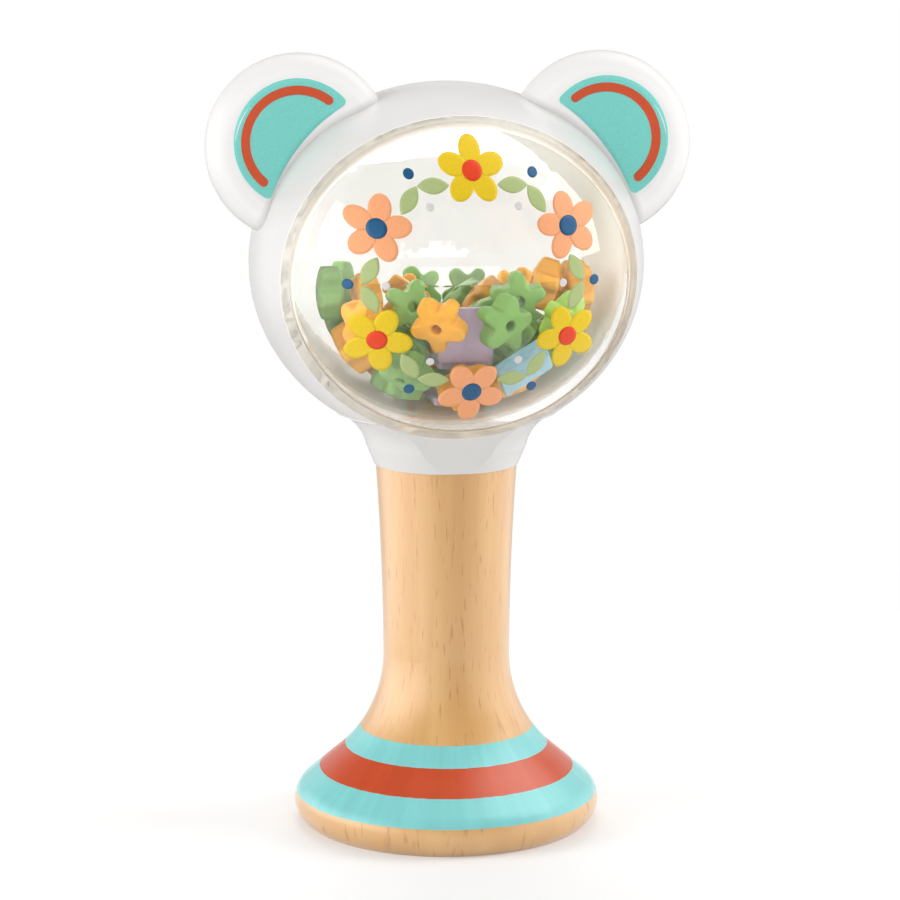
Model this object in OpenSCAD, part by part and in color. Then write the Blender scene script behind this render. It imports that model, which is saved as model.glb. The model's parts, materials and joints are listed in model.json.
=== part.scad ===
// Hand rattle: a turned beech handle that carries a round head with two ears.
// The head is a white moulded ring with a funnel neck. A clear dome closes its
// front and a clear cover its back, and loose stars and tiles fill the lower
// half of the chamber between them.
// Millimetres, +Z up, the dome looks along -Y, and the origin is the middle
// of the base.

/* [Handle] */
// Height of the wooden handle up to the neck
handle_h = 66.5; // [62:0.5:72]
// Largest radius of the flared base
base_r = 27.9; // [26.5:0.1:29]
// Radius of the base's rounded rim
base_round = 4.6; // [4:0.1:5]
// Radius of the waist
waist_r = 11.55; // [11:0.05:12.5]
// Height at which the flare has run out into the waist
waist_z = 31.5; // [30:0.5:34]
// Radius of the hollow that leads from the flare to the waist
flare_round = 25; // [22:0.5:28]
// Radius of the handle at the neck
handle_top_r = 12.8; // [12.6:0.05:13.4]

/* [Head] */
// Height of the head's centre
head_z = 102.9; // [102:0.1:104]
// Half the head's width and depth
head_r = 35.4; // [35:0.1:36]
// Half the head's height
head_h = 32.3; // [32:0.1:33]
// Distance of the dome's rim from the head's middle plane, at its lowest point
rim_y = 13.2; // [12.8:0.1:13.6]
// Forward lean of the dome's rim, in degrees
rim_lean = 5; // [4:0.25:5.25]
// Distance of the rear cover's rim and of the bore's mouths from that plane
mouth_y = 15.2; // [15:0.1:15.6]
// Thickness of the clear dome and of the rear cover
dome_wall = 3; // [2.6:0.1:3.2]
// Step from their inner faces down to the head's bore
bore_step = 0.3; // [0.2:0.05:0.4]
// Length of the sleeve that each of them pushes into the head
sleeve_l = 1.6; // [1.4:0.1:2.4]
// Thickness of that sleeve
sleeve_wall = 1; // [0.9:0.05:1.2]
// Gap between the sleeve and its seat
seat_gap = 0.1; // [0.05:0.01:0.2]

/* [Ears] */
// Radius of an ear
ear_r = 16.5; // [15.5:0.1:17]
// Thickness of an ear
ear_t = 8; // [7:0.5:9]
// Distance of an ear's centre from the middle
ear_x = 26.9; // [26:0.1:28]
// Height of an ear's centre over the head's centre
ear_up = 21.3; // [20.4:0.1:22]
// Radius of the shallow dish in the front of an ear
dish_r = 11.5; // [10:0.1:12]
// Depth of that dish
dish_depth = 1.5; // [1:0.1:2]

/* [Neck] */
// Radius of the neck's lower rim
neck_r = 13.1; // [12.9:0.05:13.3]
// Radius of the hollow between the neck and the head
neck_round = 8; // [7.8:0.1:8.2]
// Radius of the handle's tenon
tenon_r = 9; // [8:0.1:10]
// Length of the handle's tenon
tenon_l = 4; // [3:0.1:4.5]
// Length of the screw that holds the head on the handle
screw_l = 36; // [30:1:40]
// Diameter of the screw's shank
screw_d = 4; // [3.5:0.1:4.5]

/* [Filling] */
// Radius of a star over its points
star_r = 4.9; // [4.5:0.1:5]
// Thickness of a star at its middle
star_t = 4.8; // [4.2:0.1:5]
// How much thinner a star's points are on each side
star_crown = 1; // [0.6:0.1:1.2]
// Diameter of the hole through a star
star_hole = 1.8; // [1.6:0.1:2.2]
// Edge of a square tile
tile_w = 9.6; // [9:0.1:9.8]
// Thickness of a square tile
tile_t = 1.2; // [1:0.1:1.4]
// Largest tilt of a piece in its row, in degrees
tilt_max = 9; // [0:1:10]

/* [Hidden] */
$fn = 96;
big = 200;

// The bore is an ellipse a little inside the domes' inner faces
inner_r = head_r - dome_wall;
inner_h = head_h - dome_wall;
mouth_x = sqrt(inner_r * inner_r - mouth_y * mouth_y);
bore_x = mouth_x - bore_step;
bore_z = mouth_x * inner_h / inner_r - bore_step;
seat_x = bore_x + sleeve_wall;
seat_z = bore_z + sleeve_wall;

// Depth of the screw's head under the chamber's floor
screw_sunk = 0.8;

// Colours of the pieces
white = [0.96, 0.96, 0.95];
beech = [0.93, 0.78, 0.57];
clear = [0.9, 0.94, 0.96, 0.3];
steel = [0.7, 0.7, 0.72];
FILL_COLOURS = [
    ["G", [0.42, 0.62, 0.34]],
    ["L", [0.62, 0.78, 0.36]],
    ["O", [0.95, 0.65, 0.16]],
    ["B", [0.55, 0.76, 0.84]],
    ["V", [0.68, 0.6, 0.7]]
];

// Rows of the filling. Each row lies on a circle round the head's front-to-back
// axis, so it can slide round the chamber without meeting the next one:
// [distance along Y, radius of the row, lean towards the dome in degrees,
//  angle between pieces, turn of the whole row, one letter for each piece].
// G, L and O are green, lime and orange stars, B and V blue and violet tiles.
cap_y = 20.9;
cap_r = 18.5;
tip_y = 27.6;
tip_r = 8.8;
back_y = 18.7;
back_r = 10.4;
row_y = 10.6;
wall_row_r = bore_z - 3.4;
core_row_r = wall_row_r - 6.2;
heart_row_r = core_row_r - 6.5;
FRONT_ROWS = [
    [-cap_y, cap_r, 42, 33, 0, "OGOBL"],
    [-tip_y, tip_r, 68, 76, 0, "OG"],
    [-back_y, back_r, 86, 62, 3, "GVG"]
];
WALL_ROWS = [
    [-row_y, wall_row_r, 0, 27, 0, "GOGVOGO"],
    [0, wall_row_r, 0, 27, 10, "GOGLGO"],
    [row_y, wall_row_r, 0, 27, -5, "VGOGG"]
];
CORE_ROWS = [
    [-row_y, core_row_r, 0, 38, 3, "OGVGO"],
    [0, core_row_r, 0, 38, -8, "OGLG"],
    [row_y, core_row_r, 0, 38, 4, "GOG"],
    [-row_y, heart_row_r, 0, 68, -6, "LG"],
    [0, heart_row_r, 0, 68, 8, "GO"],
    [row_y, heart_row_r, 0, 68, -4, "OG"]
];
REAR_ROWS = [
    [cap_y, cap_r, -42, 33, -3, "GOLGO"],
    [tip_y, tip_r, -68, 76, -8, "G"],
    [back_y, back_r, -86, 70, 6, "OG"]
];

// One entry for each piece: [letter, Y, row radius, lean, angle round the row]
function row_pieces(row) = let (last = len(row[5]) - 1) [
    for (i = [0 : last]) [row[5][i], row[0], row[1], row[2], row[4] + (i - last / 2) * row[3]]
];
function pieces(rows) = [for (row = rows) for (piece = row_pieces(row)) piece];
FILLING = [
    ["front_fill_", pieces(FRONT_ROWS)],
    ["wall_fill_", pieces(WALL_ROWS)],
    ["core_fill_", pieces(CORE_ROWS)],
    ["rear_fill_", pieces(REAR_ROWS)]
];
function fill_name(group, i) = str(group[0], i < 9 ? "0" : "", i + 1);
FILL_NODES = [for (group = FILLING) for (i = [0 : len(group[1]) - 1]) fill_name(group, i)];

// Outline of half an ellipse, for a turned body about Z
module half_ellipse(rx, rz) {
    intersection() {
        scale([rx, rz]) circle(1);
        translate([0, -big / 2]) square([big / 2, big]);
    }
}

// Flattened ball about the head's centre
module head_ball(rx, rz) {
    translate([0, 0, head_z]) rotate_extrude() half_ellipse(rx, rz);
}

// Elliptical rod through the head from front to back
module head_bore(rx, rz, y_from, y_to) {
    translate([0, y_to, head_z]) rotate([90, 0, 0]) linear_extrude(y_to - y_from) scale([rx, rz]) circle(1);
}

// Everything in front of the dome's rim, which leans forward about its lowest
// point, and as far behind it as reach says
module front_space(reach = 0) {
    translate([0, -rim_y, head_z - head_h]) rotate([rim_lean, 0, 0])
        translate([-big / 2, reach - big, -big / 2]) cube([big, big, 2 * big]);
}

// Everything behind the rear cover's rim, and as far in front of it as reach says
module rear_space(reach = 0) {
    translate([-big / 2, mouth_y - reach, -big / 2]) cube([big, big, 2 * big]);
}

// The hollow that holds the filling: a straight bore with a dished end front and back
module chamber() {
    lap = 0.2;
    head_bore(bore_x, bore_z, -mouth_y - lap, mouth_y + lap);
    difference() {
        head_ball(inner_r, inner_h);
        translate([-big / 2, -mouth_y, -big / 2]) cube([big, 2 * mouth_y, 2 * big]);
    }
}

// Countersunk wood screw under the chamber's floor; gap widens it to its hole
// and pocket opens that hole upwards
module screw_shape(gap, pocket) {
    shank_r = screw_d / 2 + gap;
    top_r = screw_d + gap;
    translate([0, 0, head_z - bore_z - screw_sunk - screw_l]) rotate_extrude() polygon([
        [0, -gap],
        [shank_r, screw_d],
        [shank_r, screw_l - screw_d / 2],
        [top_r, screw_l],
        [top_r, screw_l + pocket],
        [0, screw_l + pocket]
    ]);
}

module screw_hole() {
    screw_shape(0.1, 4);
}

// Turned handle: rounded rim, straight flank, hollow flare, slim waist
module handle_outline() {
    rim_r = base_r - base_round;
    rim_z = 3.9;
    flare_c = [waist_r + flare_round, waist_z];
    span = flare_c - [rim_r, rim_z];
    flank = atan2(span[1], span[0]) - acos((base_round + flare_round) / norm(span));
    flank_dir = [cos(flank), sin(flank)];
    top_round = (pow(handle_h - waist_z, 2) / (handle_top_r - waist_r) + handle_top_r - waist_r) / 2;
    touch = flare_c - flare_round * flank_dir;
    bite = 0.03;
    difference() {
        union() {
            intersection() {
                translate([rim_r, rim_z]) circle(base_round);
                square([big, big]);
            }
            polygon([
                [0, 0],
                [rim_r, 0],
                [rim_r, rim_z] + (base_round - bite) * flank_dir,
                touch,
                [touch[0], waist_z],
                [0, waist_z]
            ]);
        }
        translate(flare_c) circle(flare_round + bite, $fn = 360);
    }
    difference() {
        translate([0, waist_z]) square([handle_top_r, handle_h - waist_z]);
        translate([waist_r + top_round, waist_z]) circle(top_round, $fn = 2000);
    }
}

module handle() {
    color(beech) difference() {
        union() {
            rotate_extrude() handle_outline();
            translate([0, 0, handle_h - 1]) cylinder(r = tenon_r, h = tenon_l + 1);
        }
        screw_hole();
    }
}

// Outline of the head with its funnel neck, for a turned body about Z
module head_outline() {
    neck_h = 4.3;
    widen = 1.8;
    inside = 20;
    into_head = 10.5;
    neck_round_c = [neck_r + 9.3, handle_h + 1.9];
    translate([0, head_z]) half_ellipse(head_r, head_h);
    difference() {
        polygon([
            [0, handle_h],
            [neck_r, handle_h],
            [neck_r + widen, handle_h + neck_h],
            [inside, handle_h + neck_h],
            [inside, handle_h + into_head],
            [0, handle_h + into_head]
        ]);
        translate(neck_round_c) circle(neck_round);
    }
}

// Ear: a round-edged disc with a shallow dish in its front
module ear() {
    dish_ball = (dish_r * dish_r + dish_depth * dish_depth) / (2 * dish_depth);
    ear_y = -4;
    translate([ear_x, ear_y, head_z + ear_up]) rotate([90, 0, 0]) rotate_extrude() difference() {
        union() {
            translate([ear_r - ear_t / 2, 0]) circle(ear_t / 2);
            translate([0, -ear_t / 2]) square([ear_r - ear_t / 2, ear_t]);
        }
        translate([0, ear_t / 2 - dish_depth + dish_ball]) circle(dish_ball, $fn = 360);
        translate([-big, -big / 2]) square([big, big]);
    }
}

// Widened ends of the bore, which take the sleeves of the two caps
module seats() {
    intersection() {
        head_bore(seat_x, seat_z, -head_r, head_r);
        union() {
            front_space(sleeve_l);
            rear_space(sleeve_l);
        }
    }
}

module head_ring() {
    color(white) difference() {
        union() {
            rotate_extrude() head_outline();
            ear();
            mirror([1, 0, 0]) ear();
        }
        front_space();
        rear_space();
        chamber();
        seats();
        translate([0, 0, handle_h - 1]) cylinder(r = tenon_r + seat_gap, h = tenon_l + 1 + seat_gap);
        screw_hole();
    }
}

// Rod from inside one cap's wall to inside the other's, whose ends are their sleeves
module sleeve_rod() {
    into_cap = 3.7;
    head_bore(seat_x - seat_gap, seat_z - seat_gap, -mouth_y - into_cap, mouth_y + into_cap);
}

module clear_dome() {
    color(clear) difference() {
        intersection() {
            head_ball(head_r, head_h);
            union() {
                front_space();
                intersection() {
                    sleeve_rod();
                    front_space(sleeve_l - seat_gap);
                }
            }
        }
        chamber();
    }
}

module rear_cover() {
    color(clear) difference() {
        intersection() {
            head_ball(head_r, head_h);
            union() {
                rear_space();
                intersection() {
                    sleeve_rod();
                    rear_space(sleeve_l - seat_gap);
                }
            }
        }
        chamber();
    }
}

// The screw with its cross recess
module neck_screw() {
    slot_l = 1.2 * screw_d;
    slot_w = 0.22 * screw_d;
    slot_depth = 1.3;
    screw_top = head_z - bore_z - screw_sunk;
    color(steel) difference() {
        screw_shape(0, 0);
        for (turn = [0, 90]) translate([0, 0, screw_top]) rotate(turn)
            cube([slot_l, slot_w, 2 * slot_depth], center = true);
    }
}

// A point turned about the origin
function turned(point, angle) = [
    point[0] * cos(angle) - point[1] * sin(angle),
    point[0] * sin(angle) + point[1] * cos(angle)
];

// Puffy star: five broad round points, crowned on both sides, with a hole
module star() {
    blunt = 1.3;
    valley_r = 0.55 * star_r;
    shoulder = 0.06;
    point_x = star_r - blunt;
    point_y = blunt - shoulder;
    crown_ball = (star_r * star_r + star_crown * star_crown) / (2 * star_crown);
    difference() {
        intersection() {
            linear_extrude(star_t, center = true) {
                polygon([for (i = [0 : 4]) each [
                    turned([point_x, -point_y], 72 * i),
                    turned([point_x, point_y], 72 * i),
                    turned([valley_r, 0], 72 * i + 36)
                ]]);
                for (i = [0 : 4]) rotate(72 * i) translate([point_x, 0]) circle(blunt, $fn = 32);
            }
            translate([0, 0, star_t / 2 - crown_ball]) sphere(crown_ball);
            translate([0, 0, crown_ball - star_t / 2]) sphere(crown_ball);
        }
        cylinder(d = star_hole, h = 2 * star_t, center = true, $fn = 32);
    }
}

// Square tile with clipped corners
module tile() {
    corner_r = 0.67 * tile_w;
    linear_extrude(tile_t, center = true) intersection() {
        square(tile_w, center = true);
        circle(corner_r);
    }
}

// One piece of the filling in its row, tilted and spun a little its own way
module fill_piece(piece, i) {
    letter = piece[0];
    is_tile = letter == "B" || letter == "V";
    tilt = is_tile ? 0 : tilt_max;
    spin = is_tile ? 4 : 53 * i;
    own_way = [tilt * sin(137 * i), tilt * cos(211 * i), spin];
    paint = FILL_COLOURS[search(letter, FILL_COLOURS)[0]][1];
    color(paint)
        translate([0, 0, head_z]) rotate([0, -piece[4], 0])
        translate([0, piece[1], -piece[2]]) rotate([-piece[3], 0, 0]) rotate(own_way) {
            if (is_tile) tile();
            else star();
        }
}

handle();
head_ring();
clear_dome();
rear_cover();
neck_screw();
for (group = FILLING) for (i = [0 : len(group[1]) - 1])
    fill_piece(group[1][i], i);
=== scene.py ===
"""Looks of the hand rattle: finishes for its parts, the painted and printed decoration,
and the studio light and camera of a product photograph."""
import json
import math
import bpy
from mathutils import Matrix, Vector


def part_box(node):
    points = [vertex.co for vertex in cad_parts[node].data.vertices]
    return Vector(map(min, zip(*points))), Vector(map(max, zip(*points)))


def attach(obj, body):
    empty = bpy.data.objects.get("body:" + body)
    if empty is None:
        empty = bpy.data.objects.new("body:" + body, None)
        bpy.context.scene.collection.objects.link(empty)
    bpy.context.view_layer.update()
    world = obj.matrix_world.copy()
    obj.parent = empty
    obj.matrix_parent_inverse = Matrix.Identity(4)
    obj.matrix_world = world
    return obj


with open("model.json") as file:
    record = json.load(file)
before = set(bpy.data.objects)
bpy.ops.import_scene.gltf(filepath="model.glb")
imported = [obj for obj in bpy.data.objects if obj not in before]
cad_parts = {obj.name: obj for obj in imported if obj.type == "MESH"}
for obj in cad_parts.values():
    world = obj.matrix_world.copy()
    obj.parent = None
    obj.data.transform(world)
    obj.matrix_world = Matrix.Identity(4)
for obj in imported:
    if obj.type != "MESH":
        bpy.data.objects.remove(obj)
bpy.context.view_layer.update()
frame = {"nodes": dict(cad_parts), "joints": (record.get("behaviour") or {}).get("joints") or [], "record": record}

MM = 0.001
BODY = "rattle"

# Head: the filling turns about its centre, and the dome's front is its largest radius
HEAD_C = Vector(frame["joints"][0]["pos_m"])
HEAD_R = -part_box("clear_dome")[0].y
HEAD_H = 32.3 * MM
BORE_R = 28.3 * MM
BORE_H = 25.6 * MM

# Rims of the clear caps: the front one leans forward about its lowest point
FRONT_RIM = Vector((0, -13.2 * MM, HEAD_C.z - HEAD_H))
FRONT_RIM_LEAN = math.radians(5)
REAR_RIM_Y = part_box("head_ring")[1].y

# Ears: the middle of the right one's front face, its radius, and the dish in that face
EAR_C = Vector((26.9 * MM, -8 * MM, 124.2 * MM))
EAR_R = 16.5 * MM
DISH_R = 11.5 * MM
DISH_DEPTH = 1.5 * MM

# Heights of the painted rings on the base
RING_EDGES = [5.5 * MM, 9.9 * MM, 14.1 * MM, 17.5 * MM]

# Printed ink: the height at which it is laid over the surface that carries it, and its thickness
INK_LIFT = 0.05 * MM
INK_T = 0.03 * MM


def srgb(r, g, b):
    """Linear colour, with alpha, of a screen colour given as 0 to 255."""
    def channel(value):
        share = value / 255
        return share / 12.92 if share <= 0.04045 else ((share + 0.055) / 1.055) ** 2.4
    return (channel(r), channel(g), channel(b), 1.0)


def shade(colour, factor):
    """A lighter or darker version of a linear colour."""
    return tuple(min(1.0, part * factor) for part in colour[:3]) + (1.0,)


FULL_WHITE = (1.0, 1.0, 1.0, 1.0)
FULL_BLACK = (0.0, 0.0, 0.0, 1.0)
TURQUOISE = srgb(130, 208, 207)
EAR_TURQUOISE = srgb(132, 223, 213)
BRICK = srgb(199, 76, 38)
EAR_BRICK = srgb(220, 88, 50)
WHITE = srgb(224, 222, 220)
# Ears: a whiter copy of the shell's white as painted light, and a grey towards their edge as painted shade
EAR_PAINTED_LIGHT = srgb(254, 253, 252)
EAR_EDGE_PAINTED_SHADE = srgb(228, 226, 224)
# Bore wall: a lighter warm white, painted light against the shade inside the head
BORE_PAINTED_LIGHT = srgb(252, 249, 241)
# Rims: cream, and a darker beige for the painted shade towards their lower right
CREAM = srgb(246, 242, 234)
RIM_PAINTED_SHADE = srgb(232, 218, 196)
CLEAR = (0.985, 0.975, 0.95, 1.0)
BEECH = srgb(228, 180, 114)
BEECH_DARK = srgb(214, 160, 95)
BEECH_FLECK = srgb(182, 104, 50)
STEEL = srgb(206, 207, 210)
STEEL_DARK = srgb(176, 178, 182)
FILL_COLOURS = {
    "star_green": srgb(128, 176, 92),
    "star_lime": srgb(166, 208, 90),
    "star_orange": srgb(246, 176, 48),
    "tile_blue": srgb(156, 204, 222),
    "tile_violet": srgb(186, 168, 194),
}
WREATH_COLOURS = {
    "yellow": srgb(235, 200, 30),
    "peach": srgb(250, 172, 122),
    "scarlet": srgb(232, 67, 28),
    "navy": srgb(31, 90, 133),
    "leaf": srgb(176, 192, 130),
    "pearl": srgb(222, 216, 214),
}


# Small tools for node materials

# Places of the Mix node's sockets, several of which share a name
FACTOR = 0
NUMBER_A, NUMBER_B, NUMBER_OUT = 2, 3, 0
COLOUR_A, COLOUR_B, COLOUR_OUT = 6, 7, 2

# Ranges of a noise: its middle, and nearly all of it
NOISE_MIDDLE = (0.3, 0.7)
NOISE_REACH = (0.2, 0.8)


def new_surface(name, **sockets):
    """A material with a Principled shader, whose sockets are set by name."""
    material = bpy.data.materials.new(name)
    material.use_nodes = True
    shader = material.node_tree.nodes["Principled BSDF"]
    for socket, value in sockets.items():
        shader.inputs[socket.replace("_", " ")].default_value = value
    return material, material.node_tree, shader


def feed(tree, shader, **sockets):
    """Link values to a shader's sockets by name."""
    for socket, value in sockets.items():
        tree.links.new(value, shader.inputs[socket.replace("_", " ")])


def dress(obj, material):
    """Give an object one material, in place of those that it has."""
    obj.data.materials.clear()
    obj.data.materials.append(material)


def add(tree, kind, settings=None, inputs=None):
    """A node of one kind, with its properties set and its inputs set or linked."""
    node = tree.nodes.new("ShaderNode" + kind)
    for name, value in (settings or {}).items():
        setattr(node, name, value)
    for name, value in (inputs or {}).items():
        if isinstance(value, bpy.types.NodeSocket):
            tree.links.new(value, node.inputs[name])
        else:
            node.inputs[name].default_value = value
    return node


def number(tree, operation, a, b=0.0):
    """The number that an operation makes of one or two numbers."""
    return add(tree, "Math", {"operation": operation}, {0: a, 1: b}).outputs[0]


def vector(tree, operation, *inputs):
    """The vector that an operation makes of vectors."""
    return add(tree, "VectorMath", {"operation": operation}, dict(enumerate(inputs))).outputs["Vector"]


def measure(tree, operation, *inputs):
    """The number that an operation makes of vectors."""
    return add(tree, "VectorMath", {"operation": operation}, dict(enumerate(inputs))).outputs["Value"]


def both(tree, a, b):
    """The product of two values: of two masks, where both hold."""
    return number(tree, "MULTIPLY", a, b)


def either(tree, a, b):
    """The larger of two values: of two masks, where at least one holds."""
    return number(tree, "MAXIMUM", a, b)


def span(tree, value, low, high, to_low, to_high):
    """value from low to high, brought to to_low to to_high and held there outside that range."""
    ends = (value, low, high, to_low, to_high)
    return add(tree, "MapRange", inputs=dict(enumerate(ends))).outputs[0]


def blend(tree, factor, a, b):
    """Number that goes from a to b with factor."""
    return add(tree, "Mix", inputs={FACTOR: factor, NUMBER_A: a, NUMBER_B: b}).outputs[NUMBER_OUT]


def mix(tree, factor, a, b):
    """Colour that goes from a to b with factor."""
    node = add(tree, "Mix", {"data_type": "RGBA"}, {FACTOR: factor, COLOUR_A: a, COLOUR_B: b})
    return node.outputs[COLOUR_OUT]


def multiplied(tree, colour, level):
    """Colour times a number."""
    settings = {"data_type": "RGBA", "blend_type": "MULTIPLY"}
    node = add(tree, "Mix", settings, {FACTOR: 1.0, COLOUR_A: colour, COLOUR_B: level})
    return node.outputs[COLOUR_OUT]


def ramp(tree, factor, stops, interpolation="LINEAR"):
    """Colour that follows factor through stops of (position, colour)."""
    node = add(tree, "ValToRGB", inputs={"Fac": factor})
    node.color_ramp.interpolation = interpolation
    elements = node.color_ramp.elements
    while len(elements) < len(stops):
        elements.new(0.5)
    for element, (position, colour) in zip(elements, stops):
        element.position = position
        element.color = colour
    return node.outputs["Color"]


def two_tone(tree, factor, first, last, limits=NOISE_MIDDLE):
    """Colour that goes from the first to the last while factor goes between its limits."""
    low, high = limits
    return ramp(tree, factor, [(low, first), (high, last)])


def place(tree):
    """The point on the object, in the frame's metres."""
    return add(tree, "TexCoord").outputs["Object"]


def axes(tree, spot):
    """The coordinates of a point, named X, Y and Z."""
    return add(tree, "SeparateXYZ", inputs={0: spot}).outputs


def all_ways(size):
    """A size that is the same along x, y and z."""
    return (size, size, size)


def noise(tree, size, detail=2.0, spot=None):
    """Noise from 0 to 1 whose features measure size = (x, y, z) in metres, at a spot on the object."""
    if spot is None:
        spot = place(tree)
    scale = [1 / part for part in size]
    scaled = add(tree, "Mapping", inputs={"Vector": spot, "Scale": scale}).outputs[0]
    return add(tree, "TexNoise", inputs={"Vector": scaled, "Scale": 1.0, "Detail": detail}).outputs[0]


def bump(tree, shader, height, depth, strength):
    """Relief of the given depth in metres from a height of 0 to 1."""
    node = add(tree, "Bump", inputs={"Height": height, "Distance": depth, "Strength": strength})
    tree.links.new(node.outputs["Normal"], shader.inputs["Normal"])


# Where a point lies on the rattle

def along_profile(tree, radius):
    """The point on the object, brought straight in or out to a cylinder about the z axis."""
    level, upright = (1.0, 1.0, 0.0), (0.0, 0.0, 1.0)
    spot = place(tree)
    outward = vector(tree, "NORMALIZE", vector(tree, "MULTIPLY", spot, level))
    ring = vector(tree, "MULTIPLY", outward, all_ways(radius))
    upward = vector(tree, "MULTIPLY", spot, upright)
    return vector(tree, "ADD", ring, upward)


def from_ear_axis(tree, spot):
    """Distance of a point from the axis of the ear on its side."""
    square_to_axis = (1.0, 0.0, 1.0)
    folded = vector(tree, "ABSOLUTE", spot)
    offset = vector(tree, "SUBTRACT", folded, EAR_C)
    return measure(tree, "LENGTH", vector(tree, "MULTIPLY", offset, square_to_axis))


def head_share(tree, spot):
    """Distance of a point from the head's centre, which is 1 on the head's outer face."""
    centred = vector(tree, "SUBTRACT", spot, HEAD_C)
    return measure(tree, "LENGTH", vector(tree, "DIVIDE", centred, (HEAD_R, HEAD_R, HEAD_H)))


def bore_share(tree, spot):
    """Distance of a point from the bore's axis, which is 1 on the bore's wall."""
    centred = vector(tree, "SUBTRACT", spot, HEAD_C)
    return measure(tree, "LENGTH", vector(tree, "MULTIPLY", centred, (1 / BORE_R, 0.0, 1 / BORE_H)))


def behind_front_rim(tree, spot):
    """Distance of a point behind the plane of the front cap's leaning rim."""
    inward = (0.0, math.cos(FRONT_RIM_LEAN), math.sin(FRONT_RIM_LEAN))
    return measure(tree, "DOT_PRODUCT", vector(tree, "SUBTRACT", spot, FRONT_RIM), inward)


# Materials

def paint_rings(tree, streaks):
    """Colour of the rings painted round the base, streaked with the grain below them, and a mask
    that is 1 where there is paint. The rings' edges waver a little."""
    top = 25 * MM
    waver_size, waver_height = 2 * MM, 0.16 * MM
    thin, thick = 0.94, 1.04
    waver = number(tree, "MULTIPLY", noise(tree, all_ways(waver_size)), waver_height)
    height = number(tree, "ADD", axes(tree, place(tree))["Z"], waver)
    share = number(tree, "DIVIDE", height, top)
    edges = [0.0] + [edge / top for edge in RING_EDGES]
    bands = [BEECH, TURQUOISE, BRICK, TURQUOISE, BEECH]
    painted = [FULL_BLACK, FULL_WHITE, FULL_WHITE, FULL_WHITE, FULL_BLACK]
    paint = ramp(tree, share, list(zip(edges, bands)), "CONSTANT")
    cover = ramp(tree, share, list(zip(edges, painted)), "CONSTANT")
    paint = multiplied(tree, paint, span(tree, streaks, *NOISE_MIDDLE, thin, thick))
    return paint, cover


def turned_beech():
    """Pale beech with long soft figure and short dark flecks, and paint rings round the base."""
    grain_r = 12 * MM
    figure_size, figure_range = (5 * MM, 5 * MM, 60 * MM), (0.3, 0.72)
    streak_size, streak_range, streak_most = (0.9 * MM, 0.9 * MM, 22 * MM), (0.45, 0.75), 0.3
    fleck_size, fleck_range, fleck_most = (0.42 * MM, 0.42 * MM, 4.5 * MM), (0.63, 0.75), 0.55
    wood_roughness, paint_roughness = 0.3, 0.26
    wood_coat, paint_coat = 1.0, 0.25
    wood_height, pore_height, paint_height = 0.5, 0.3, 1.0
    relief_depth, relief_strength = 0.06 * MM, 0.6
    material, tree, shader = new_surface("turned_beech", Coat_Roughness=0.3, Coat_IOR=1.8)

    grain = along_profile(tree, grain_r)
    figure = noise(tree, figure_size, detail=3, spot=grain)
    streaks = noise(tree, streak_size, detail=2, spot=grain)
    flecks = noise(tree, fleck_size, detail=1, spot=grain)
    streak_share = span(tree, streaks, *streak_range, 0.0, streak_most)
    fleck_share = span(tree, flecks, *fleck_range, 0.0, fleck_most)
    wood = two_tone(tree, figure, BEECH, BEECH_DARK, figure_range)
    wood = mix(tree, streak_share, wood, BEECH_DARK)
    wood = mix(tree, fleck_share, wood, BEECH_FLECK)

    paint, cover = paint_rings(tree, streaks)
    feed(tree, shader,
         Base_Color=mix(tree, cover, wood, paint),
         Roughness=blend(tree, cover, wood_roughness, paint_roughness),
         Coat_Weight=blend(tree, cover, wood_coat, paint_coat))
    pores = blend(tree, fleck_share, wood_height, pore_height)
    bump(tree, shader, blend(tree, cover, pores, paint_height), relief_depth, relief_strength)
    return material


def rim_cream_painted_shade(tree, spot):
    """Cream of the rims with painted shade: light at the upper left and darker towards the lower right."""
    low_right = (0.7, 0.0, -0.7)
    light_end, dark_end = -10 * MM, 22 * MM
    painted_shade_share = measure(tree, "DOT_PRODUCT", vector(tree, "SUBTRACT", spot, HEAD_C), low_right)
    return mix(tree, span(tree, painted_shade_share, light_end, dark_end, 0.0, 1.0), CREAM, RIM_PAINTED_SHADE)


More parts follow.
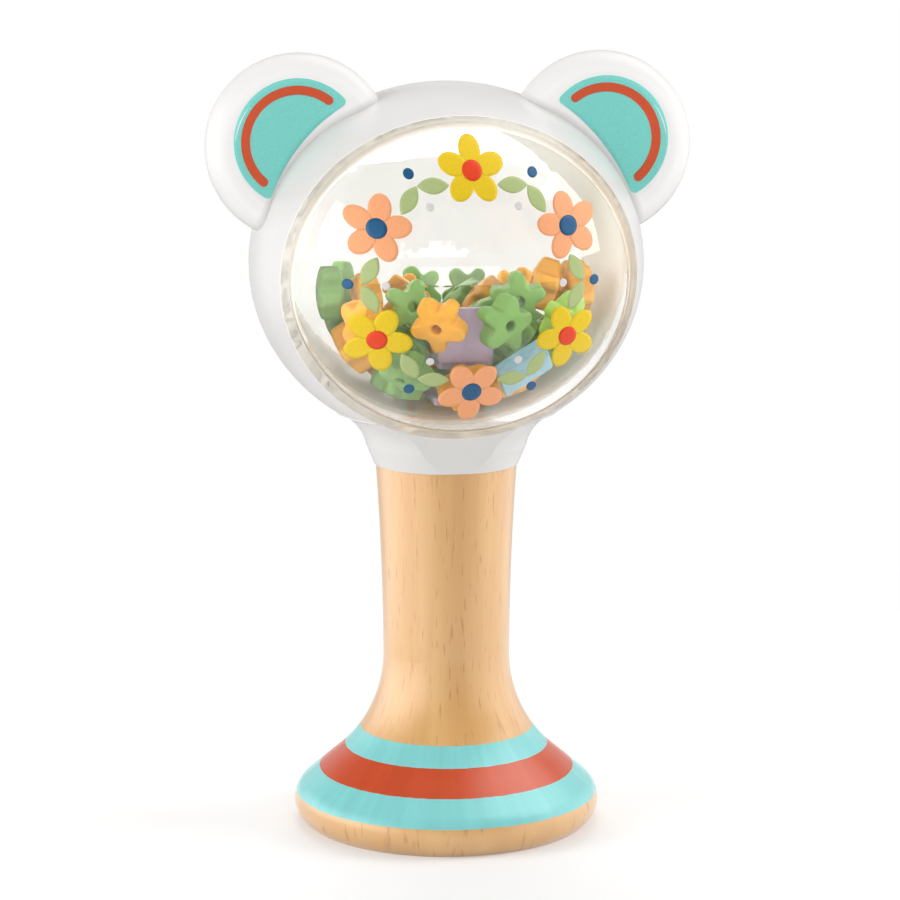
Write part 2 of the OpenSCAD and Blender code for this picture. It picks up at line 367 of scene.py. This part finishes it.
def white_shell():
    """Smooth white moulding. Its ears are painted whiter as painted light, and grey a little towards
    their edge as painted shade; the wall of its bore is painted light, a lighter warm white against
    the shade inside the head; and its rims are cream with painted shade towards the lower right."""
    cloud_size, cloud_shade = 9 * MM, 0.975
    smooth, rough = 0.2, 0.26
    pebble_size, pebble_depth, pebble_strength = 1.6 * MM, 0.01 * MM, 0.3
    ear_end, ear_fade, edge_shade_width = EAR_R + 0.5 * MM, 3 * MM, 3 * MM
    head_end, head_clear = 1.005, 1.04
    bore_wall, bore_end = 1.055, 13 * MM
    slack = 0.04 * MM
    material, tree, shader = new_surface("white_shell", IOR=1.5, Specular_IOR_Level=0.3)
    spot = place(tree)
    along = axes(tree, spot)["Y"]
    from_ear = from_ear_axis(tree, spot)
    from_head = head_share(tree, spot)

    cloud = noise(tree, all_ways(cloud_size))
    white = two_tone(tree, cloud, WHITE, shade(WHITE, cloud_shade))

    # Ears: painted light, a whiter white than the shell, greying towards the edge as painted shade
    near_ear = span(tree, from_ear, ear_end, ear_end + ear_fade, 1.0, 0.0)
    off_head = span(tree, from_head, head_end, head_clear, 0.0, 1.0)
    edge_painted_shade = span(tree, from_ear, EAR_R - edge_shade_width, EAR_R, 0.0, 1.0)
    ear_painted_light = mix(tree, edge_painted_shade, EAR_PAINTED_LIGHT, EAR_EDGE_PAINTED_SHADE)
    white = mix(tree, both(tree, near_ear, off_head), white, ear_painted_light)

    # Bore wall: painted light, a lighter warm white against the shade inside the head
    in_bore = number(tree, "LESS_THAN", bore_share(tree, spot), bore_wall)
    before_end = number(tree, "LESS_THAN", along, bore_end)
    white = mix(tree, both(tree, in_bore, before_end), white, BORE_PAINTED_LIGHT)

    inside_head = number(tree, "LESS_THAN", from_head, 1.0)
    at_front = number(tree, "LESS_THAN", behind_front_rim(tree, spot), slack)
    at_rear = number(tree, "GREATER_THAN", along, REAR_RIM_Y - slack)
    on_rim = both(tree, inside_head, either(tree, at_front, at_rear))
    # Rims: cream with painted shade towards the lower right
    white = mix(tree, on_rim, white, rim_cream_painted_shade(tree, spot))

    feed(tree, shader, Base_Color=white, Roughness=span(tree, cloud, *NOISE_REACH, smooth, rough))
    bump(tree, shader, noise(tree, all_ways(pebble_size)), pebble_depth, pebble_strength)
    return material


def clear_plastic():
    """Clear polished moulding with a faint ripple; what sits inside the ring is frosted cream, with painted shade
    towards the lower right.
    """
    haze_size, haze_range = 7 * MM, (0.3, 0.8)
    haze_roughness, frost_roughness = 0.04, 0.45
    ripple_size, ripple_depth, ripple_strength = 14 * MM, 0.03 * MM, 0.5
    slack = 0.15 * MM
    material, tree, shader = new_surface("clear_plastic", IOR=1.46)
    spot = place(tree)
    past_front = number(tree, "GREATER_THAN", behind_front_rim(tree, spot), -slack)
    before_rear = number(tree, "LESS_THAN", axes(tree, spot)["Y"], REAR_RIM_Y + slack)
    seated = both(tree, past_front, before_rear)
    haze = noise(tree, all_ways(haze_size), detail=3)
    polish = span(tree, haze, *haze_range, 0.0, haze_roughness)
    # Seated part: cream with painted shade towards the lower right
    feed(tree, shader,
         Base_Color=mix(tree, seated, CLEAR, rim_cream_painted_shade(tree, spot)),
         Transmission_Weight=number(tree, "SUBTRACT", 1.0, seated),
         Roughness=blend(tree, seated, polish, frost_roughness))
    bump(tree, shader, noise(tree, all_ways(ripple_size), detail=1), ripple_depth, ripple_strength)
    return material


def plated_steel():
    """Plated steel with fine marks of polishing round it."""
    brush_size = (0.8 * MM, 0.8 * MM, 0.1 * MM)
    smooth, rough = 0.28, 0.42
    material, tree, shader = new_surface("plated_steel", Metallic=1.0)
    brush = noise(tree, brush_size)
    feed(tree, shader,
         Base_Color=two_tone(tree, brush, STEEL_DARK, STEEL),
         Roughness=span(tree, brush, *NOISE_MIDDLE, smooth, rough))
    return material


def moulded_fill(name, colour):
    """Soft-looking matte plastic of the loose pieces, a little mottled and rubbed."""
    mottle_size, mottle_range = 3 * MM, (0.25, 0.75)
    dark, light = 0.76, 1.02
    smooth, rough = 0.38, 0.55
    grit_size, grit_depth, grit_strength = 0.25 * MM, 0.03 * MM, 0.5
    material, tree, shader = new_surface(name, IOR=1.48)
    mottle = noise(tree, all_ways(mottle_size), detail=3)
    feed(tree, shader,
         Base_Color=two_tone(tree, mottle, shade(colour, dark), shade(colour, light), mottle_range),
         Roughness=span(tree, mottle, *NOISE_REACH, smooth, rough))
    bump(tree, shader, noise(tree, all_ways(grit_size)), grit_depth, grit_strength)
    return material


def print_ink(name, colour, roughness=0.4):
    """Screen-printed ink: an even colour with a fine stipple."""
    stipple_size, spread = 0.3 * MM, 0.06
    dark, light = 0.94, 1.04
    material, tree, shader = new_surface(name, IOR=1.45)
    stipple = noise(tree, all_ways(stipple_size))
    feed(tree, shader,
         Base_Color=two_tone(tree, stipple, shade(colour, dark), shade(colour, light)),
         Roughness=span(tree, stipple, *NOISE_REACH, roughness - spread, roughness + spread))
    return material


# Outlines of the printed shapes, as closed lists of (across, up) points in metres

def polar(radius, angle, centre=(0.0, 0.0)):
    """The point at a radius and an angle in degrees from a centre."""
    turn = math.radians(angle)
    return (centre[0] + radius * math.cos(turn), centre[1] + radius * math.sin(turn))


def turned(outline, angle, centre=(0.0, 0.0)):
    """The outline turned by an angle in degrees about its own origin, then moved."""
    c, s = math.cos(math.radians(angle)), math.sin(math.radians(angle))
    return [(centre[0] + c * x - s * y, centre[1] + s * x + c * y) for x, y in outline]


def oval(half_w, half_h, steps=40):
    """An oval about its origin."""
    turns = [2 * math.pi * i / steps for i in range(steps)]
    return [(half_w * math.cos(turn), half_h * math.sin(turn)) for turn in turns]


def leaf(length, half_w, steps=20):
    """A leaf with two pointed ends, along +x from its origin."""
    fullness = 0.8
    shares = [i / steps for i in range(steps + 1)]
    upper = [(length * share, half_w * math.sin(math.pi * share) ** fullness) for share in shares]
    lower = [(x, -y) for x, y in reversed(upper)]
    return upper[:-1] + lower[:-1]


# Points and faces of the printed shapes

def filled(outline, rings):
    """Points and faces of an outline filled by rings that shrink to its middle."""
    count = len(outline)
    cx = sum(p[0] for p in outline) / count
    cy = sum(p[1] for p in outline) / count
    points = [(cx, cy)]
    for ring in range(1, rings + 1):
        share = ring / rings
        points += [(cx + (x - cx) * share, cy + (y - cy) * share) for x, y in outline]
    faces = [(0, 1 + i, 1 + (i + 1) % count) for i in range(count)]
    for ring in range(rings - 1):
        low = 1 + ring * count
        high = low + count
        faces += [(low + i, high + i, high + (i + 1) % count, low + (i + 1) % count) for i in range(count)]
    return points, faces


def grid_faces(rows, columns):
    """Faces of a grid of points that are listed row by row."""
    corners = [row * columns + column for row in range(rows - 1) for column in range(columns - 1)]
    return [(i, i + 1, i + columns + 1, i + columns) for i in corners]


def arc(centre, radius, start, end, steps):
    """Points on an arc between two angles in radians."""
    angles = [start + (end - start) * i / steps for i in range(steps + 1)]
    return [(centre[0] + radius * math.cos(a), centre[1] + radius * math.sin(a)) for a in angles]


def bitten_disc(radius, bite_x, bite_r, corner, across=12):
    """Points and faces of a disc with a round bite about (bite_x, 0), and with its two corners
    rounded. They span two chains of points, along the disc's edge and along the bite, which
    part a little way off the tip of each corner."""
    side_steps, corner_steps, tip_gap = 60, 5, 1 / 16
    corner_x = (bite_x ** 2 + (radius - corner) ** 2 - (bite_r + corner) ** 2) / (2 * bite_x)
    corner_y = math.sqrt((radius - corner) ** 2 - corner_x ** 2)
    upper, lower = (corner_x, corner_y), (corner_x, -corner_y)
    outward = math.atan2(corner_y, corner_x)
    inward = math.atan2(corner_y, bite_x - corner_x)
    tip = (outward - inward) / 2
    gap = (outward + inward) * tip_gap
    edge = (arc(upper, corner, tip + gap, outward, corner_steps)
            + arc((0, 0), radius, outward, 2 * math.pi - outward, side_steps)[1:-1]
            + arc(lower, corner, -outward, -tip - gap, corner_steps))
    bite = (arc(upper, corner, tip - gap, -inward, corner_steps)
            + arc((bite_x, 0), bite_r, math.pi - inward, math.pi + inward, side_steps)[1:-1]
            + arc(lower, corner, inward, gap - tip, corner_steps))
    points = []
    for row in range(across + 1):
        share = row / across
        points += [(ax + (bx - ax) * share, ay + (by - ay) * share)
                   for (ax, ay), (bx, by) in zip(edge, bite)]
    return points, grid_faces(across + 1, len(edge))


def ribbon(radius, half_w, start, end, steps=72, across=4):
    """Points and faces of an arc-shaped line with round ends, angles in degrees."""
    cap_steps, least_w = 12, 1e-6
    cap = math.degrees(half_w / radius)
    overs = [math.cos(math.pi / 2 * i / cap_steps) for i in range(cap_steps)]
    angles = [start - cap * over for over in overs]
    angles += [start + (end - start) * i / steps for i in range(steps + 1)]
    angles += [end + cap * over for over in reversed(overs)]
    points = []
    for angle in angles:
        over = max(start - angle, angle - end, 0) / cap
        width = half_w * math.sqrt(max(0.0, 1 - over ** 2)) + least_w
        points += [polar(radius + width * (2 * j / across - 1), angle) for j in range(across + 1)]
    return points, grid_faces(len(angles), across + 1)


# Printed and painted shapes, laid on the surfaces that carry them

def on_dome(x, z, lift):
    """The point of the dome's outer face in front of (x, z), which count from the head's centre."""
    y = -HEAD_R * math.sqrt(1 - (x / HEAD_R) ** 2 - (z / HEAD_H) ** 2)
    normal = Vector((x / HEAD_R ** 2, y / HEAD_R ** 2, z / HEAD_H ** 2)).normalized()
    return HEAD_C + Vector((x, y, z)) + normal * lift


def on_ear(side):
    """A function that lays a point on the dished front of the ear on one side."""
    ball = (DISH_R ** 2 + DISH_DEPTH ** 2) / (2 * DISH_DEPTH)

    def lay(x, z, lift):
        sag = ball - math.sqrt(ball ** 2 - x ** 2 - z ** 2)
        front = EAR_C.y + max(0.0, DISH_DEPTH - sag)
        return Vector((side * EAR_C.x + x, front - lift, EAR_C.z + z))
    return lay


def ink_piece(name, shapes, lay, material, lift=INK_LIFT):
    """One piece of ink: filled shapes laid on a surface and given a thickness."""
    verts, faces = [], []
    for points, polygons in shapes:
        start = len(verts)
        verts += [lay(x, z, lift) for x, z in points]
        faces += [tuple(start + i for i in polygon) for polygon in polygons]
    mesh = bpy.data.meshes.new(name)
    mesh.from_pydata(verts, [], faces)
    mesh.validate()
    mesh.shade_smooth()
    piece = bpy.data.objects.new(name, mesh)
    bpy.context.scene.collection.objects.link(piece)
    solid = piece.modifiers.new("thickness", "SOLIDIFY")
    solid.thickness = INK_T
    solid.offset = -1
    dress(piece, material)
    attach(piece, BODY)
    return piece


def paint_ears():
    """Turquoise half-moon and brick-red line in the dish of each ear, a little up and outward
    of its middle."""
    outward, upward = 0.5 * MM, 1.05 * MM
    moon_r, corner, moon_depth = 11.2 * MM, 0.9 * MM, 0.8 * MM
    line_r, line_half, line_middle, line_sweep = 9.1 * MM, 0.8 * MM, 180, 88
    roughness = 0.45
    moon_ink = print_ink("ear_turquoise_ink", EAR_TURQUOISE, roughness)
    line_ink = print_ink("ear_red_ink", EAR_BRICK, roughness)
    line, line_faces = ribbon(line_r, line_half, line_middle - line_sweep, line_middle + line_sweep)
    for side, label in ((-1, "left"), (1, "right")):
        lay = on_ear(side)
        middle = (side * outward, upward)
        away = Vector((side * EAR_C.x + middle[0], EAR_C.z - HEAD_C.z + middle[1]))
        to_head = math.degrees(math.atan2(-away.y, -away.x))
        moon, moon_faces = bitten_disc(moon_r, away.length, away.length - moon_depth, corner)
        moon_shape = (turned(moon, to_head, middle), moon_faces)
        line_shape = (turned(line, to_head, middle), line_faces)
        ink_piece("ear_moon_" + label, [moon_shape], lay, moon_ink)
        ink_piece("ear_line_" + label, [line_shape], lay, line_ink, 2 * INK_LIFT)


def print_wreath():
    """A wreath of plain flowers and leaves on the clear dome."""
    wreath_r, berry_r, dot_r = 19 * MM, 21.28 * MM, 15.2 * MM
    flowers, petals, top = 6, 5, 90
    petal_reach, leaf_lean = 3.3 * MM, 118
    large_rings, small_rings = 4, 3
    petal = oval(2.5 * MM, 1.9 * MM)
    heart = oval(1.7 * MM, 1.7 * MM)
    berry = oval(0.9 * MM, 0.9 * MM)
    dot = oval(0.7 * MM, 0.7 * MM)
    blade = leaf(5.4 * MM, 1.35 * MM)
    shapes = {name: [] for name in WREATH_COLOURS}
    for i in range(flowers):
        at = top + 360 / flowers * i
        centre = polar(wreath_r, at)
        petal_ink, heart_ink = ("yellow", "scarlet") if i % 2 == 0 else ("peach", "navy")
        for k in range(petals):
            turn = at + 360 / petals * k
            spot = polar(petal_reach, turn, centre)
            shapes[petal_ink].append(filled(turned(petal, turn, spot), large_rings))
        shapes[heart_ink].append(filled(turned(heart, 0, centre), small_rings))
        between = at + 180 / flowers
        stem = polar(wreath_r, between)
        for lean in (-leaf_lean, leaf_lean):
            shapes["leaf"].append(filled(turned(blade, between + lean, stem), large_rings))
        shapes["navy"].append(filled(turned(berry, 0, polar(berry_r, between)), small_rings))
        shapes["pearl"].append(filled(turned(dot, 0, polar(dot_r, between)), small_rings))
    lifts = {"scarlet": 2 * INK_LIFT, "navy": 2 * INK_LIFT}
    for name, colour in WREATH_COLOURS.items():
        ink = print_ink(name + "_ink", colour)
        ink_piece("wreath_" + name, shapes[name], on_dome, ink, lifts.get(name, INK_LIFT))


# Finishes of the CAD parts

def soften(obj, voxel, rounds):
    """Round a moulded piece's edges: one even skin, smoothed."""
    skin = obj.modifiers.new("skin", "REMESH")
    skin.mode = "VOXEL"
    skin.voxel_size = voxel
    skin.use_smooth_shade = True
    ease = obj.modifiers.new("ease", "SMOOTH")
    ease.factor = 0.5
    ease.iterations = rounds


def finish_parts():
    """The finish of every CAD part, and softer edges for the loose pieces."""
    star_voxel, star_rounds = 0.3 * MM, 6
    tile_voxel, tile_rounds = 0.2 * MM, 2
    nodes = frame["nodes"]
    dress(nodes["handle"], turned_beech())
    dress(nodes["head_ring"], white_shell())
    dress(nodes["neck_screw"], plated_steel())
    clear = clear_plastic()
    for name in ("clear_dome", "rear_cover"):
        dress(nodes[name], clear)
        nodes[name].visible_shadow = False
    slots = {part["node"]: part["material_slot"] for part in frame["record"]["subparts"]}
    fills = {slot: moulded_fill(slot, colour) for slot, colour in FILL_COLOURS.items()}
    for name, obj in nodes.items():
        slot = slots[name]
        if slot not in fills:
            continue
        dress(obj, fills[slot])
        if slot.startswith("tile"):
            soften(obj, tile_voxel, tile_rounds)
        else:
            soften(obj, star_voxel, star_rounds)


# Stage

def white_world():
    """White behind the object and through it and a softer grey as light. Reflections show a low
    horizon that is bright on the left, a panel overhead to the right, and are dim elsewhere."""
    seen_level, ambient, dim = 1.0, 0.48, 0.12
    panel_way, panel_edge, panel_level = (0.56, 0.12, 0.82), 0.82, 2.8
    left_level, right_level, back_level = 2.4, 1.3, 0.5
    side_start, side_full = 0.35, 0.9
    back_start, back_full = -0.6, 0.1
    horizon_full, horizon_end = 0.25, 0.55
    world = bpy.data.worlds.new("studio")
    world.use_nodes = True
    bpy.context.scene.world = world
    tree = world.node_tree
    towards = add(tree, "TexCoord").outputs["Generated"]
    way = axes(tree, towards)

    panel = measure(tree, "DOT_PRODUCT", towards, panel_way)
    overhead = span(tree, panel, panel_edge, 1.0, 0.0, panel_level)
    left = span(tree, way["X"], -side_start, -side_full, 0.0, left_level)
    right = span(tree, way["X"], side_start, side_full, 0.0, right_level)
    back = span(tree, way["Y"], back_start, back_full, 0.0, back_level)
    around = either(tree, left, either(tree, right, back))
    low = span(tree, number(tree, "ABSOLUTE", way["Z"]), horizon_full, horizon_end, 1.0, 0.0)
    horizon = both(tree, low, around)
    reflected = number(tree, "ADD", either(tree, overhead, horizon), dim)

    rays = add(tree, "LightPath").outputs
    seen = either(tree, rays["Is Camera Ray"], rays["Is Transmission Ray"])
    level = blend(tree, rays["Is Glossy Ray"], ambient, reflected)
    level = blend(tree, seen, level, seen_level)
    background = tree.nodes["Background"]
    background.inputs["Color"].default_value = FULL_WHITE
    tree.links.new(level, background.inputs["Strength"])


def pale_floor():
    """Round white floor that fades into the backdrop. Where it is seen it glows evenly, and what
    it throws back as light is a glow that starts a little way off the object."""
    floor_r, grey = 600 * MM, 0.6
    seen_glow, bounce_glow = 0.33, 0.55
    bounce_start, bounce_full = 50 * MM, 140 * MM
    fade_start, fade_end = 100 * MM, 240 * MM
    bpy.ops.mesh.primitive_circle_add(vertices=96, radius=floor_r, fill_type="NGON")
    floor = bpy.context.object
    floor.name = "floor"
    material, tree, shader = new_surface("floor_white", Base_Color=(grey, grey, grey, 1.0), Roughness=0.9,
                                         Emission_Color=FULL_WHITE)
    rays = add(tree, "LightPath").outputs
    mirrored = either(tree, rays["Is Glossy Ray"], rays["Is Transmission Ray"])
    seen = either(tree, rays["Is Camera Ray"], mirrored)
    away = measure(tree, "LENGTH", place(tree))
    bounce = span(tree, away, bounce_start, bounce_full, 0.0, bounce_glow)
    feed(tree, shader, Emission_Strength=blend(tree, seen, bounce, seen_glow))
    fade = span(tree, away, fade_start, fade_end, 0.0, 1.0)
    clear = add(tree, "BsdfTransparent")
    faded = add(tree, "MixShader", inputs={0: fade, 1: shader.outputs[0], 2: clear.outputs[0]})
    tree.links.new(faded.outputs[0], tree.nodes["Material Output"].inputs["Surface"])
    dress(floor, material)


def softbox(name, where, aim, width, height, watts):
    """Rectangular lamp aimed at a point, which leaves no image in glossy surfaces."""
    lamp = bpy.data.lights.new(name, "AREA")
    lamp.shape = "RECTANGLE"
    lamp.size = width
    lamp.size_y = height
    lamp.energy = watts
    obj = bpy.data.objects.new(name, lamp)
    bpy.context.scene.collection.objects.link(obj)
    obj.location = where
    obj.rotation_euler = (Vector(aim) - Vector(where)).to_track_quat("-Z", "Y").to_euler()
    obj.visible_glossy = False


def light_studio():
    """Two strong lamps at the sides, and weaker ones in front, above and behind."""
    aim = (0.0, 0.0, 0.08)
    softbox("left", (-0.68, -0.1, 0.36), aim, width=0.35, height=0.4, watts=3.1)
    softbox("right", (0.62, -0.07, 0.38), aim, width=0.35, height=0.5, watts=3.0)
    softbox("front", (0.0, -0.9, 0.1), aim, width=0.8, height=0.2, watts=1.75)
    softbox("top", (0.0, 0.35, 0.75), aim, width=0.4, height=0.4, watts=1.8)
    softbox("back", (0.1, 0.8, 0.3), aim, width=0.6, height=0.4, watts=1.6)


def photo_camera():
    """The photograph's view: azimuth and elevation in degrees about a point on the axis."""
    azimuth, elevation = math.radians(-8.75), math.radians(10.3)
    target, distance = Vector((0, 0, 68.6 * MM)), 580 * MM
    back = Vector((math.sin(azimuth) * math.cos(elevation),
                   -math.cos(azimuth) * math.cos(elevation),
                   math.sin(elevation)))
    camera = bpy.data.cameras.new("photo_camera")
    camera.lens = 128
    camera.sensor_width = 36
    camera.shift_x = 0.0042
    camera.clip_start = 0.01
    obj = bpy.data.objects.new("photo_camera", camera)
    bpy.context.scene.collection.objects.link(obj)
    obj.location = target + back * distance
    obj.rotation_euler = (-back).to_track_quat("-Z", "Y").to_euler()
    bpy.context.scene.camera = obj


finish_parts()
paint_ears()
print_wreath()
white_world()
pale_floor()
light_studio()
photo_camera()
bpy.context.scene.view_settings.view_transform = "Standard"
